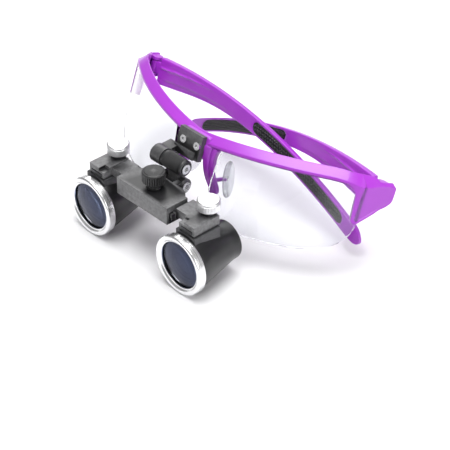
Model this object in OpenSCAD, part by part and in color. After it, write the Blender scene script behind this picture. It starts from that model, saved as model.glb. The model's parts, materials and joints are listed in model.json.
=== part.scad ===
// Dental loupes: a folding spectacle frame that carries two magnifying barrels on a
// flip-up hinge. +X is the wearer's left, -Y is forward, +Z is up. The origin is on the
// surface that the folded loupes rest on, under the middle of the object.

/* [Barrels] */
// Distance between the two barrel axes
pd = 56.6; // [55:0.2:62]
// Outer diameter of the bright front ring
ring_d = 27; // [26.6:0.1:27.4]
// Length of a barrel from its front ring to its eyepiece
barrel_len = 28.2; // [27.4:0.1:28.4]
// Depth of the bright front ring
ring_len = 4; // [3.6:0.1:4.4]
// Diameter of the barrel housing behind the ring
housing_d = 24.8; // [24.6:0.1:25]

/* [Spectacle frame] */
// Width over the two lugs
frame_w = 150; // [146:1:154]
// Backward lean of the spectacle frame when the barrels lie level
pitch = 20; // [18:0.5:22]
// Wrap radius of the brow bar and the lenses, seen from above
wrap_r = 104; // [100:1:108]
// Height of the brow bar
brow_h = 5.2; // [4.6:0.1:6]
// Depth of the brow bar from front to back
brow_t = 3.6; // [3.4:0.1:4.2]
// Thickness of a spectacle lens
lens_t = 2; // [1.6:0.1:2.2]

/* [Temples] */
// Length of a temple from its hinge pin to its tip
temple_len = 131; // [125:1:133]
// Thickness of a temple at its hinge
temple_t = 3.6; // [3.2:0.1:3.8]
// Thickness of a temple past its first third
temple_thin = 2.8; // [2.6:0.1:3]
// How far the left temple is short of a full fold, in degrees
left_lean = 10; // [9.5:0.5:11]
// How far the right temple is short of a full fold, in degrees
right_lean = 3.9; // [3:0.1:4.2]

/* [Hinges and beam] */
// Half of the beam's length
beam_half = 15.8; // [15:0.1:16.2]
// Height of the upper pivot, about which the barrels flip up
upper_z = 38.6; // [38.2:0.1:39]
// Height of the lower pivot, which sets the viewing angle
lower_z = 29.8; // [29.4:0.1:30]
// Diameter of the two thumbscrews and the central knob
knob_d = 10; // [9:0.1:10.4]

/* [Hidden] */
$fn = 64;
eps = 0.01;
hull_fn = 32;

// Running clearance, and the small gap left where two still pieces meet
run_gap = 0.05;
seat_gap = 0.02;

// Where the whole object stands, and where the frame's own axes start
rest_shift_y = 0.6;
bridge_y = -11.1;
bridge_z = 44.9;

// Barrel axis, and stations along a barrel counted back from the front face
ring_r = ring_d / 2;
housing_r = housing_d / 2;
axis_z = ring_r;
front_y = -45;
barrel_x = pd / 2;
nose_r = housing_r - 0.45;
seat_r = housing_r - 1.2;
glass_r = ring_r - 2.9;
taper_start = 7;
shoulder_start = barrel_len - 3.4;
rear_r = 9;
eye_seat_r = 7.6;
eye_ring_r = 8.2;
eye_open_r = 6.2;
objective_start = 1.3;
objective_end = 6;
retainer_end = 8;
tube_end = 21.5;
eye_start = 23.4;
eye_end = barrel_len - 1.9;

// Barrel foot, its dovetail rail and the head block of the arm above it
foot_z = 27.5;
foot_half = 5.7;
foot_y0 = -40.4;
foot_y1 = -26;
rail_h = 2;
rail_top_half = 3.4;
rail_neck_half = 2.5;
rail_gap = 0.15;
head_half = 4.6;
head_y0 = -39.5;
head_y1 = -25.6;
head_top = 32;
clamp_y = -27.3;
clamp_stem_r = 1.5;
collar_top = 33.9;
screw_top = 38.5;

// Beam
beam_y0 = -39;
beam_y1 = -24.5;
beam_top = 32.7;
beam_bottom = 24.5;
bay_y0 = -37.8;
bay_y1 = -26.2;
bay_z0 = 26;
bay_z1 = 29.9;
pinion_y = -32;
gear_module = 0.5;
gear_teeth = 12;
gear_r = gear_module * gear_teeth / 2;
rack_pitch = PI * gear_module;
rack_z0 = 26.5;
rack_z1 = 29.4;
neck_in = 14.2;
neck_out = beam_half + 1.2;
shaft_r = 1.5;
knob_z0 = 35.4;
knob_z1 = 40.6;

// Hinges between the bridge and the beam
pivot_y = -20;
knuckle_r = 4;
link_r = 3.7;
knuckle_x0 = -11.8;
knuckle_x1 = -6;
ear_r = 3.4;
pivot_shaft_r = 1.3;
pivot_head_r = 2.2;

// Bridge plate, in the frame's own axes
plate_x0 = -8;
plate_x1 = 5.8;
plate_z0 = -6.6;
plate_z1 = 4.6;
plate_t = 2.5;
bridge_screw_x = 4.1;
bridge_screw_r = 1;
bridge_back = 6.9;

// The post that holds a nose pad, and its radius
pad_post = [10.9, 14.4, -13];
pad_post_r = 0.9;

// Brow bar, lugs and temple hinges, in the frame's own axes
brow_z = 5;
brow_rise = 0.13;
brow_drop_x = 58;
brow_drop = 0.014;
lug_x = frame_w / 2;
hinge_x = lug_x - 6;
hinge_y = 41;
pin_r = 0.8;
eye_r = 2.3;
lug_wall_x = hinge_x + eye_r + 0.15;
lip_r = 2.6;
lip_z = [0.8, 2.4, 8.4, 10];
root_s = 3.6;
temple_top = 10.85;
temple_top_s = 15;
temple_curve = 0.00222;
temple_h = 7;
temple_thin_s = 42;
temple_flare = 5.6;
temple_flare_s = 32;
tip_round = 6;
grip_s0 = 64;
grip_s1 = 118;

// Lens outline, a skewed superellipse under the brow bar
lens_cx = 41;
lens_cz = -8;
lens_a = 29;
lens_b = 20.5;
lens_power = 2 / 3;
lens_skew = 0.15;
lens_skew_x = 36;

function brow_top(x) = brow_z + brow_rise * x - brow_drop * pow(max(0, x - brow_drop_x), 2);
function power(v) = sign(v) * pow(abs(v), lens_power);
function lens_edge(a) = let (x = lens_cx + lens_a * power(cos(a)))
    [x, lens_cz - lens_b * power(sin(a)) + lens_skew * (x - lens_skew_x)];
function temple_z1(s) = temple_top - temple_curve * pow(s - temple_top_s, 2);
function temple_tall(s) = temple_h + temple_flare * exp(-pow(s / temple_flare_s, 2));
function temple_half(s) =
    temple_tall(s) / 2 * sqrt(1 - pow(max(0, s - temple_len + tip_round) / tip_round, 2));
function temple_mid(s) = temple_z1(s) - temple_tall(s) / 2;

// The whole object where it stands
module stand() { translate([0, rest_shift_y, 0]) children(); }

// The spectacle frame's own axes: x across, y back, z up along the lenses
module in_frame() {
    stand() translate([0, bridge_y, bridge_z]) rotate([-pitch, 0, 0]) children();
}

// The right-hand copy of a piece drawn on the wearer's left
module on_side(side) {
    if (side > 0) children();
    else mirror([1, 0, 0]) children();
}

// A barrel's own axes: z runs back along its axis from the front face
module in_barrel(side) {
    stand() on_side(side) translate([barrel_x, front_y, axis_z]) rotate([-90, 0, 0]) children();
}

// A cylinder along x, from x0 to x1
module rod_x(x0, x1, r) { translate([x0, 0, 0]) rotate([0, 90, 0]) cylinder(h = x1 - x0, r = r); }

// A box between two corners
module block(a, b) { translate(a) cube(b - a); }

// An upright ring of grooves around a knob
module knurl(r, z0, z1, count, groove_r) {
    for (i = [0 : count - 1])
        rotate([0, 0, i * 360 / count]) translate([r, 0, z0])
            cylinder(h = z1 - z0, r = groove_r, $fn = 16);
}

// ---------------------------------------------------------------- spectacle frame

// The band between two wrap arcs, seen from above, depths counted back from the plate
module wrap_band(front, depth) {
    intersection() {
        difference() {
            translate([0, wrap_r + front]) circle(r = wrap_r, $fn = 256);
            translate([0, wrap_r + front]) circle(r = wrap_r - depth, $fn = 256);
        }
        translate([-lug_x, -1]) square([2 * lug_x, 46]);
    }
}

// An outline drawn in front view (x, z), carried from front to back
module carried_back(depth) { rotate([90, 0, 0]) translate([0, 0, -depth]) linear_extrude(depth) children(); }

module brow_outline() {
    xs = [for (x = [0 : 3 : 69]) x];
    top = [for (x = xs) [x, brow_top(x)]];
    low = [for (i = [len(xs) - 1 : -1 : 0]) [xs[i], brow_top(xs[i]) - brow_h]];
    polygon(concat(top, low));
}

module brow_bar() {
    intersection() {
        translate([0, 0, -10]) linear_extrude(30) wrap_band(plate_t, brow_t);
        carried_back(46) union() {
            brow_outline();
            mirror([1, 0]) brow_outline();
        }
    }
}

// One lug: a flat side wall that runs back past the temple's hinge pin
module lug() {
    intersection() {
        translate([0, 0, -12]) linear_extrude(30) polygon([
            [lug_x - 5.4, 28], [lug_x, 44.8], [lug_wall_x, 44.8],
            [lug_wall_x, 38.2], [lug_x - 9.4, 33], [lug_x - 11.4, 29.2], [lug_x - 11, 25.2]
        ]);
        rotate([90, 0, 90]) linear_extrude(90) polygon([
            [25, -8.2], [30.2, -7.8], [32, -6.6], [38.6, -1.8], [43.6, 1.6], [44.8, 3.2],
            [44.8, 9], [43.6, 10.3], [37.8, 10.7], [36, 12.3], [25, 12.8]
        ]);
    }
    for (i = [0, 2]) translate([hinge_x, hinge_y, lip_z[i]]) {
        cylinder(h = lip_z[i + 1] - lip_z[i], r = lip_r);
        block([0, -lip_r, 0], [3, lip_r, lip_z[i + 1] - lip_z[i]]);
    }
}

// One nose arm, which curves down and back from the bridge to the nose pad
module nose_arm() {
    hull() {
        translate([5.6, 4.6, -2]) sphere(r = 2, $fn = hull_fn);
        translate([9, 5.2, -3]) sphere(r = 1.8, $fn = hull_fn);
        translate([7.6, 7, -11]) sphere(r = 1.6, $fn = hull_fn);
        translate([10.4, 8, -11]) sphere(r = 1.5, $fn = hull_fn);
    }
    hull() {
        translate([7.6, 7, -11]) sphere(r = 1.6, $fn = hull_fn);
        translate([10.4, 8, -11]) sphere(r = 1.5, $fn = hull_fn);
        translate([10.6, 10.6, -18.6]) sphere(r = 1.6, $fn = hull_fn);
        translate([12.4, 11.2, -18.4]) sphere(r = 1.4, $fn = hull_fn);
    }
    translate([pad_post[0], 8, pad_post[2]]) rotate([-90, 0, 0])
        cylinder(h = pad_post[1] - 8, r = pad_post_r);
}

module front_frame() {
    color("orchid") in_frame() difference() {
        union() {
            brow_bar();
            block([-7.4, plate_t, plate_z0 + 1.2], [7.4, bridge_back, brow_z - 0.4]);
            for (side = [-1, 1]) on_side(side) {
                lug();
                nose_arm();
            }
        }
        for (side = [-1, 1]) on_side(side) {
            lens_blank(run_gap);
            translate([hinge_x, hinge_y, -5]) cylinder(h = 20, r = pin_r);
        }
        for (x = [-bridge_screw_x, bridge_screw_x]) translate([x, 0, 0]) rotate([-90, 0, 0]) {
            cylinder(h = 10, r = bridge_screw_r + seat_gap);
            translate([0, 0, 4.6]) cylinder(h = 10, r = 1.7);
        }
        // flat clearance behind the bridge plate
        block([plate_x0, -3, plate_z0], [plate_x1, plate_t + seat_gap, plate_z1 + 0.1]);
    }
}

// A lens in its groove: grow widens it to cut the groove
module lens_blank(grow) {
    top_in = 1.2 + grow;
    xs = [for (x = [12.4 : 3.2 : 63.6]) x];
    difference() {
        intersection() {
            translate([0, 0, -35]) linear_extrude(60)
                wrap_band(plate_t + (brow_t - lens_t) / 2 - grow, lens_t + 2 * grow);
            carried_back(46) polygon(concat(
                [for (a = [0 : 6 : 180]) lens_edge(a)],
                [for (x = xs) [x, brow_top(x) - brow_h + top_in]],
                [[lens_cx + lens_a, brow_top(63) - brow_h + top_in]]
            ));
        }
        block([lug_x - 11.4 + grow, 20, -8.4], [lug_x + 5, 46, 20]);
        block([0, -2, -7.6 + grow], [12.4 - grow, 12, 8]);
    }
}

module lens(side) { color("aliceblue", 0.4) in_frame() on_side(side) lens_blank(0); }

module nose_pad(side) {
    color("whitesmoke", 0.6) in_frame() on_side(side) difference() {
        translate([11.6, 16.4, -13]) rotate([0, 0, 22]) rotate([0, -12, 0]) rotate([0, 90, 0])
            translate([0, 0, -1.4]) linear_extrude(2.8) hull() {
                translate([-3, 0]) circle(r = 4.8, $fn = 48);
                translate([3, 0.6]) circle(r = 5.2, $fn = 48);
            }
        translate([pad_post[0], 8, pad_post[2]]) rotate([-90, 0, 0])
            cylinder(h = pad_post[1] - 8 + run_gap, r = pad_post_r + run_gap);
    }
}

module bridge_plate() {
    color("dimgray") difference() {
        union() {
            in_frame() block([plate_x0, 0, plate_z0], [plate_x1, plate_t, plate_z1]);
            in_frame() block([plate_x0, -1.2, plate_z0], [4, 0.2, plate_z0 + 3.4]);
            stand() translate([0, pivot_y, upper_z]) {
                rod_x(knuckle_x0, knuckle_x1, knuckle_r);
                block([knuckle_x0, 0, -1.6], [knuckle_x1, 8, 3]);
            }
        }
        stand() translate([0, pivot_y, upper_z]) rod_x(-14, 0, pivot_shaft_r + run_gap);
        in_frame() for (x = [-bridge_screw_x, bridge_screw_x]) translate([x, -4, 0])
            rotate([-90, 0, 0]) cylinder(h = 10, r = bridge_screw_r + seat_gap);
        // room for the link's round body
        stand() translate([0, pivot_y, upper_z]) rod_x(knuckle_x1, 8, link_r + 0.5);
    }
}

// A socket-head screw along +y, its head standing in front of y = 0
module socket_screw(shank_r, shank_len, head_r, head_h) {
    rotate([-90, 0, 0]) difference() {
        union() {
            cylinder(h = shank_len, r = shank_r);
            translate([0, 0, -head_h]) cylinder(h = head_h, r = head_r);
        }
        translate([0, 0, -head_h - eps]) cylinder(h = head_h * 0.6, r = head_r * 0.5, $fn = 6);
    }
}

module bridge_screws() {
    color("silver") in_frame() for (x = [-bridge_screw_x, bridge_screw_x])
        translate([x, -seat_gap, 0]) socket_screw(bridge_screw_r, 6, 1.7, 0.9);
}

module bridge_inserts() {
    color("goldenrod") in_frame() for (x = [-bridge_screw_x, bridge_screw_x])
        translate([x, 4.6 + seat_gap, 0]) rotate([-90, 0, 0]) difference() {
            cylinder(h = bridge_back - 4.6 - seat_gap, r = 1.7 - seat_gap);
            translate([0, 0, -1]) cylinder(h = 6, r = bridge_screw_r + seat_gap);
        }
}

module temple_pins() {
    color("silver") in_frame() for (side = [-1, 1]) on_side(side)
        translate([hinge_x, hinge_y, lip_z[0]])
            cylinder(h = lip_z[3] - lip_z[0], r = pin_r - seat_gap);
}

// ---------------------------------------------------------------- temples

// A temple's own axes: x along it from the hinge pin, +y is its inner face
module in_temple(side, lean) {
    in_frame() on_side(side) translate([hinge_x, hinge_y, 0]) rotate([0, 0, 180 - lean]) children();
}

// A strip of the temple's side outline between two stations, trimmed by two margins
module temple_outline(s0, s1, top_trim, low_trim, step) {
    ss = [for (i = [0 : step]) s0 + (s1 - s0) * (1 - pow(1 - i / step, 1.6))];
    polygon(concat(
        [for (s = ss) [s, temple_mid(s) + max(0, temple_half(s) - top_trim)]],
        [for (i = [step : -1 : 0]) [ss[i], temple_mid(ss[i]) - max(0, temple_half(ss[i]) - low_trim)]]
    ));
}

module temple(side, lean) {
    color("orchid") in_temple(side, lean) difference() {
        union() {
            intersection() {
                rotate([90, 0, 0]) translate([0, 0, -temple_t / 2]) linear_extrude(temple_t)
                    temple_outline(root_s, temple_len, 0, 0, 28);
                translate([0, 0, -40]) linear_extrude(60) temple_plan();
            }
            translate([0, 0, lip_z[1] + 0.25]) {
                eye_h = lip_z[2] - lip_z[1] - 0.5;
                cylinder(h = eye_h, r = eye_r);
                block([0, -temple_t / 2, 0], [root_s + 1, temple_t / 2, eye_h]);
            }
        }
        translate([0, 0, -5]) cylinder(h = 20, r = pin_r + run_gap);
        grip_blank(run_gap);
    }
}

// The temple seen from above: it thins along its first third
module temple_plan() {
    polygon([
        [0, -temple_t / 2], [root_s, -temple_t / 2], [temple_thin_s, -temple_thin / 2],
        [temple_len + 1, -temple_thin / 2], [temple_len + 1, temple_thin / 2],
        [temple_thin_s, temple_thin / 2], [root_s, temple_t / 2], [0, temple_t / 2]
    ]);
}

// The rubber strip let into the temple's inner face
module grip_blank(grow) {
    rotate([90, 0, 0]) translate([0, 0, -temple_thin / 2 - 0.4]) linear_extrude(1.4 + grow)
        temple_outline(grip_s0 - grow, grip_s1 + grow, 1.6 - grow, 1 - grow, 14);
}

module grip(side, lean) { color("black") in_temple(side, lean) grip_blank(0); }

// ---------------------------------------------------------------- hinge to the barrels

module hinge_link() {
    color("dimgray") stand() difference() {
        union() {
            translate([0, pivot_y, upper_z]) rod_x(knuckle_x1 + 0.3, 6.4, link_r);
            translate([0, pivot_y, lower_z]) rod_x(-2.7, 2.7, 3);
            block([-2.7, pivot_y - 2, lower_z], [2.7, pivot_y + 2, upper_z]);
        }
        translate([0, pivot_y, upper_z]) {
            rod_x(-8, 8, pivot_shaft_r + seat_gap);
            rod_x(5.4, 8, pivot_head_r + seat_gap);
            for (a = [0 : 20 : 340]) rotate([a, 0, 0]) translate([0, 0, link_r]) rod_x(knuckle_x1 + 1.4, 5, 0.25);
        }
        translate([0, pivot_y, lower_z]) rod_x(-5, 5, pivot_shaft_r + run_gap);
    }
}

module washer(x0, x1) {
    difference() {
        rod_x(x0, x1, 2.8);
        rod_x(x0 - 1, x1 + 1, pivot_shaft_r + run_gap);
    }
}

module friction_washers() {
    color("gainsboro") stand() {
        translate([0, pivot_y, upper_z]) washer(knuckle_x1 + 0.02, knuckle_x1 + 0.28);
        translate([0, pivot_y, lower_z]) {
            washer(2.72, 2.98);
            washer(-2.98, -2.72);
        }
    }
}

// A screw along x with its head at the wearer's left end
module pivot_screw(x0, x1) {
    difference() {
        union() {
            rod_x(x0, x1, pivot_shaft_r);
            rod_x(x1 - eps, x1 + 1.4, pivot_head_r);
        }
        translate([x1 + 0.6, 0, 0]) rotate([0, 90, 0]) cylinder(h = 2, r = 1.1, $fn = 6);
    }
}

module pivot_nut(x0, x1) {
    difference() {
        translate([x0, 0, 0]) rotate([0, 90, 0]) cylinder(h = x1 - x0, r = 2.5, $fn = 6);
        rod_x(x0 - 1, x1 + 1, pivot_shaft_r + seat_gap);
    }
}

module upper_pivot_screw() {
    color("silver") stand() translate([0, pivot_y, upper_z]) pivot_screw(knuckle_x0 - 1.4, 5.4 + seat_gap);
}

module upper_pivot_nut() {
    color("dimgray") stand() translate([0, pivot_y, upper_z]) pivot_nut(knuckle_x0 - 1.4, knuckle_x0 - 0.05);
}

module lower_pivot_screw() {
    color("silver") stand() translate([0, pivot_y, lower_z]) pivot_screw(-7, 5.4 + seat_gap);
}

module lower_pivot_nut() {
    color("dimgray") stand() translate([0, pivot_y, lower_z]) pivot_nut(-7.2, -6.02);
}

// ---------------------------------------------------------------- beam and arms

module beam_plan() {
    translate([-beam_half, beam_y0]) square([2 * beam_half, 11.5]);
    for (x = [-8.4, 8.4]) translate([x, -31.5]) circle(r = 7);
    translate([-8.4, -31.5]) square([16.8, beam_y1 + 31.5]);
}

module beam_channel() {
    color("dimgray") stand() difference() {
        union() {
            translate([0, 0, beam_bottom]) linear_extrude(beam_top - beam_bottom) beam_plan();
            translate([0, pivot_y, lower_z]) for (x = [-6, 3]) rod_x(x, x + 3, ear_r);
            for (x = [-6, 3]) block([x, beam_y1 - 1, lower_z - 2.6], [x + 3, pivot_y, beam_top]);
            translate([0, pinion_y, beam_top - eps]) cylinder(h = 1.2, r = 3.2);
        }
        block([-20, bay_y0, 0], [20, bay_y1, bay_z1]);
        translate([0, pinion_y, 20]) cylinder(h = 20, r = shaft_r + run_gap);
        translate([0, pivot_y, lower_z]) {
            rod_x(-8, 8, pivot_shaft_r + seat_gap);
            rod_x(5.4, 8, pivot_head_r + seat_gap);
        }
    }
}

module beam_cover() {
    color("black") stand() difference() {
        block([-beam_half, bay_y0 + seat_gap, beam_bottom], [beam_half, bay_y1 - seat_gap, bay_z0]);
        translate([0, pinion_y, 20]) cylinder(h = 20, r = shaft_r + run_gap);
    }
}

module pinion() {
    color("silver") stand() translate([0, pinion_y, 0]) {
        translate([0, 0, beam_bottom + 0.1]) cylinder(h = knob_z1 - 1 - beam_bottom, r = shaft_r);
        translate([0, 0, rack_z0]) {
            cylinder(h = rack_z1 - rack_z0, r = gear_r - 0.7);
            for (i = [0 : gear_teeth - 1]) rotate([0, 0, i * 360 / gear_teeth])
                linear_extrude(rack_z1 - rack_z0) polygon([
                    [-0.42, gear_r - 0.9], [0.42, gear_r - 0.9], [0.3, gear_r], [0.14, gear_r + 0.4],
                    [-0.14, gear_r + 0.4], [-0.3, gear_r]
                ]);
        }
    }
}

module pd_knob() {
    color("dimgray") stand() translate([0, pinion_y, 0]) difference() {
        union() {
            translate([0, 0, knob_z0]) cylinder(h = knob_z1 - knob_z0 - 0.5, r = knob_d / 2);
            translate([0, 0, knob_z1 - 0.5]) cylinder(h = 0.5, r1 = knob_d / 2, r2 = knob_d / 2 - 0.5);
            translate([0, 0, beam_top + 1.3]) cylinder(h = knob_z0 - beam_top - 1.2, r = 3.6);
        }
        translate([0, 0, 20]) cylinder(h = knob_z1 - 1 + 0.1 - 20 + seat_gap, r = shaft_r + seat_gap);
        knurl(knob_d / 2, knob_z0 + 0.5, knob_z1 - 0.9, 30, 0.3);
    }
}

// A rack bar on the pinion's front side, teeth towards +y; flip puts it on the far side
module rack_bar(x0, x1) {
    root = -gear_r - 0.6;
    translate([x0, -gear_r - 2.4, rack_z0]) cube([x1 - x0, 1.8, rack_z1 - rack_z0]);
    for (i = [-7 : 1]) translate([(i + 0.5) * rack_pitch, 0, rack_z0])
        linear_extrude(rack_z1 - rack_z0) polygon([
            [-0.5, root - 0.1], [0.5, root - 0.1], [0.46, root], [0.12, root + 1], [-0.12, root + 1],
            [-0.46, root]
        ]);
}

module rack(side) {
    color("silver") stand() translate([0, pinion_y, 0])
        rotate([0, 0, side > 0 ? 0 : 180]) rack_bar(-11.4, neck_out - seat_gap);
}

// An arm: its head carries a barrel, its neck slides in the beam and holds the rack
module arm(side) {
    color("dimgray") stand() {
        rotate_about_pinion(side) block(
            [neck_in, -gear_r - 0.6 + seat_gap, bay_z0 + 0.3], [beam_half + 1.4, gear_r + 2.6, bay_z1 - 0.2]);
        on_side(side) difference() {
            union() {
                block([barrel_x - head_half, head_y0, foot_z + rail_gap],
                    [barrel_x + head_half, head_y1, head_top]);
                block([neck_out, -35, foot_z + rail_gap], [barrel_x - head_half + 1, -25.6, head_top - 0.4]);
            }
            translate([barrel_x, 0, foot_z]) rotate([90, 0, 0]) translate([0, 0, 20]) linear_extrude(30)
                dovetail(rail_gap);
            translate([barrel_x, clamp_y, 20]) cylinder(h = 20, r = clamp_stem_r + run_gap);
            block([barrel_x - head_half - 1, head_y0 - 1, head_top - 1.3],
                [barrel_x - head_half + 3, head_y0 + 3.4, head_top + 1]);
        }
    }
}

// Front rack and neck for the left arm; the right arm's are turned half a turn
module rotate_about_pinion(side) {
    translate([0, pinion_y, 0]) rotate([0, 0, side > 0 ? 0 : 180]) children();
}

module dovetail(grow) {
    polygon([
        [-rail_neck_half - grow, -0.5], [rail_neck_half + grow, -0.5], [rail_neck_half + grow, 0.4],
        [rail_top_half + grow, rail_h - 0.5], [rail_top_half + grow, rail_h + grow],
        [-rail_top_half - grow, rail_h + grow], [-rail_top_half - grow, rail_h - 0.5],
        [-rail_neck_half - grow, 0.4]
    ]);
}

module clamp_collar(side) {
    color("black") stand() on_side(side) translate([barrel_x, clamp_y, head_top + seat_gap]) difference() {
        cylinder(h = collar_top - head_top - seat_gap, r = 3.4);
        translate([0, 0, -1]) cylinder(h = 6, r = clamp_stem_r + run_gap);
    }
}

module thumbscrew(side) {
    color("silver") stand() on_side(side) translate([barrel_x, clamp_y, 0]) difference() {
        union() {
            translate([0, 0, foot_z + rail_h + rail_gap + 0.1])
                cylinder(h = collar_top + 1 - foot_z - rail_h, r = clamp_stem_r);
            translate([0, 0, collar_top + 0.1]) cylinder(h = 2.2, r = knob_d / 2);
            translate([0, 0, collar_top + 2.2]) cylinder(h = 0.6, r = knob_d / 2 - 0.4);
            translate([0, 0, collar_top + 2.7])
                cylinder(h = screw_top - collar_top - 3.2, r = knob_d / 2 - 0.1);
            translate([0, 0, screw_top - 0.6])
                cylinder(h = 0.6, r1 = knob_d / 2 - 0.1, r2 = knob_d / 2 - 0.7);
        }
        knurl(knob_d / 2 + 0.05, collar_top, collar_top + 2.4, 36, 0.25);
    }
}

// ---------------------------------------------------------------- barrels

module housing(side) {
    color("black") difference() {
        union() {
            in_barrel(side) rotate_extrude($fn = 96) polygon(concat(
                [[0, 1.8], [nose_r, 1.8], [nose_r, ring_len + 0.05], [housing_r, ring_len + 0.05],
                 [housing_r, taper_start], [rear_r, shoulder_start]],
                [for (a = [15 : 15 : 75]) [rear_r - 0.5 + 0.5 * cos(a), shoulder_start + 3 * sin(a)]],
                [[eye_ring_r + 0.4, barrel_len], [0, barrel_len]]
            ));
            stand() on_side(side) {
                block([barrel_x - foot_half, foot_y0, axis_z + 6], [barrel_x + foot_half, foot_y1, foot_z]);
                translate([barrel_x, 0, foot_z]) rotate([90, 0, 0]) translate([0, 0, -foot_y1 + 0.6])
                    linear_extrude(foot_y1 - foot_y0 - 1.2) dovetail(0);
            }
        }
        in_barrel(side) {
            translate([0, 0, 1]) cylinder(h = retainer_end, r = seat_r);
            cylinder(h = tube_end + 0.6, r = seat_r - 2.6);
            cylinder(h = 40, r = eye_seat_r - 0.9);
            translate([0, 0, eye_start]) cylinder(h = 10, r = eye_seat_r);
            translate([0, 0, eye_end]) cylinder(h = 10, r = eye_ring_r);
        }
    }
}

module front_ring(side) {
    color("silver") in_barrel(side) rotate_extrude($fn = 96) polygon([
        [glass_r, 0.9], [glass_r + 0.5, 0.9], [glass_r + 1.3, 0.2], [glass_r + 1.5, 0],
        [ring_r - 0.4, 0], [ring_r, 0.4], [ring_r, ring_len], [nose_r + seat_gap, ring_len],
        [nose_r + seat_gap, 1.7], [glass_r, 1.7]
    ]);
}

module objective(side) {
    color("midnightblue", 0.6) in_barrel(side) intersection() {
        translate([0, 0, objective_start - 0.5])
            cylinder(h = objective_end - objective_start + 0.5, r = seat_r - run_gap);
        translate([0, 0, 46.2]) sphere(r = 45.4, $fn = 128);
        translate([0, 0, 1.75]) objective_step();
    }
}

// Full width behind the ring's lip, and the crown that stands up inside it
module objective_step() {
    cylinder(h = 8, r = seat_r);
    translate([0, 0, -2]) cylinder(h = 8, r = glass_r - run_gap);
}

module objective_retainer(side) {
    color("black") in_barrel(side) translate([0, 0, objective_end + seat_gap]) difference() {
        cylinder(h = retainer_end - objective_end - 2 * seat_gap, r = seat_r - run_gap);
        translate([0, 0, -1]) cylinder(h = 5, r = seat_r - 1.8);
    }
}

module spacer_tube(side) {
    color("black") in_barrel(side) translate([0, 0, retainer_end]) difference() {
        cylinder(h = tube_end - retainer_end, r = seat_r - 2.6 - run_gap);
        translate([0, 0, -1]) cylinder(h = 20, r = seat_r - 3.3);
    }
}

module eyepiece(side) {
    color("midnightblue", 0.6) in_barrel(side) difference() {
        translate([0, 0, eye_start + seat_gap])
            cylinder(h = eye_end - eye_start - 2 * seat_gap, r = eye_seat_r - run_gap);
        translate([0, 0, eye_start - 17]) sphere(r = 18, $fn = 96);
    }
}

module eyepiece_ring(side) {
    color("black") in_barrel(side) rotate_extrude($fn = 96) polygon([
        [eye_open_r, eye_end], [eye_ring_r - run_gap, eye_end], [eye_ring_r - run_gap, barrel_len],
        [eye_open_r + 0.9, barrel_len], [eye_open_r, barrel_len - 0.7]
    ]);
}

front_frame();
lens(1);  // lens_left
lens(-1);  // lens_right
nose_pad(1);  // nose_pad_left
nose_pad(-1);  // nose_pad_right
bridge_plate();
bridge_screws();
bridge_inserts();
temple_pins();
temple(1, left_lean);  // temple_left
temple(-1, right_lean);  // temple_right
grip(1, left_lean);  // grip_left
grip(-1, right_lean);  // grip_right
hinge_link();
friction_washers();
upper_pivot_screw();
upper_pivot_nut();
beam_channel();
beam_cover();
lower_pivot_screw();
lower_pivot_nut();
pinion();
pd_knob();
arm(1);  // arm_left
arm(-1);  // arm_right
rack(1);  // rack_left
rack(-1);  // rack_right
clamp_collar(1);  // clamp_collar_left
clamp_collar(-1);  // clamp_collar_right
thumbscrew(1);  // thumbscrew_left
thumbscrew(-1);  // thumbscrew_right
housing(1);  // housing_left
housing(-1);  // housing_right
front_ring(1);  // front_ring_left
front_ring(-1);  // front_ring_right
objective(1);  // objective_left
objective(-1);  // objective_right
objective_retainer(1);  // objective_retainer_left
objective_retainer(-1);  // objective_retainer_right
spacer_tube(1);  // spacer_tube_left
spacer_tube(-1);  // spacer_tube_right
eyepiece(1);  // eyepiece_left
eyepiece(-1);  // eyepiece_right
eyepiece_ring(1);  // eyepiece_ring_left
eyepiece_ring(-1);  // eyepiece_ring_right
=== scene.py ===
# %% [markdown]
# # Dental loupes
# A pair of purple sports spectacles carries two short magnifying barrels on a flip-up hinge.
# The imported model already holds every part, size and joint. These cells give the parts their
# finished surfaces: moulded plastic, clear lenses, turned metal and coated glass.

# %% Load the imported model
import json
import math

import bmesh
import bpy
import numpy as np
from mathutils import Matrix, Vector


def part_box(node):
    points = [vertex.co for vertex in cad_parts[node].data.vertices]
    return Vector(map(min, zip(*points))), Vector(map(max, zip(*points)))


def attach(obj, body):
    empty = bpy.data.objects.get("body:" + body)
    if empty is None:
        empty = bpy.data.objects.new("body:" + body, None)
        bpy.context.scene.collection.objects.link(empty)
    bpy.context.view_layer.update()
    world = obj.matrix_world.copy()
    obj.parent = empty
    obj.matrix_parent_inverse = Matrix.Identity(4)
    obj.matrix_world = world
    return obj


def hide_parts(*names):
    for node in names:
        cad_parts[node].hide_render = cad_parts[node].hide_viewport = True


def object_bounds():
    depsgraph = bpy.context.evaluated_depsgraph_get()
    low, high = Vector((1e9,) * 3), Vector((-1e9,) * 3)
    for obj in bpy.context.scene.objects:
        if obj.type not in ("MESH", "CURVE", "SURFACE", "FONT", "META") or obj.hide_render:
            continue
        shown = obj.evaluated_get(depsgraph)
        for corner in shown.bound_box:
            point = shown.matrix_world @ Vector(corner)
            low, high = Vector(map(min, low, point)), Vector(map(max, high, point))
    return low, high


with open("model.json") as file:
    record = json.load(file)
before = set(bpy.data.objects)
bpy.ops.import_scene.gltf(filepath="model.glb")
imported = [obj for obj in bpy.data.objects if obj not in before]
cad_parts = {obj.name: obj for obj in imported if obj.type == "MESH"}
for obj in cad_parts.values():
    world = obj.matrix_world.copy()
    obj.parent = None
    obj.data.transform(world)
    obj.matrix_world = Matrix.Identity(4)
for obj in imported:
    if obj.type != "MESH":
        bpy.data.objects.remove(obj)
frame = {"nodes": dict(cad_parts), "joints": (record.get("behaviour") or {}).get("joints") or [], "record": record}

cad_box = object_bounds()
SIDES = {"left": 1, "right": -1}
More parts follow.
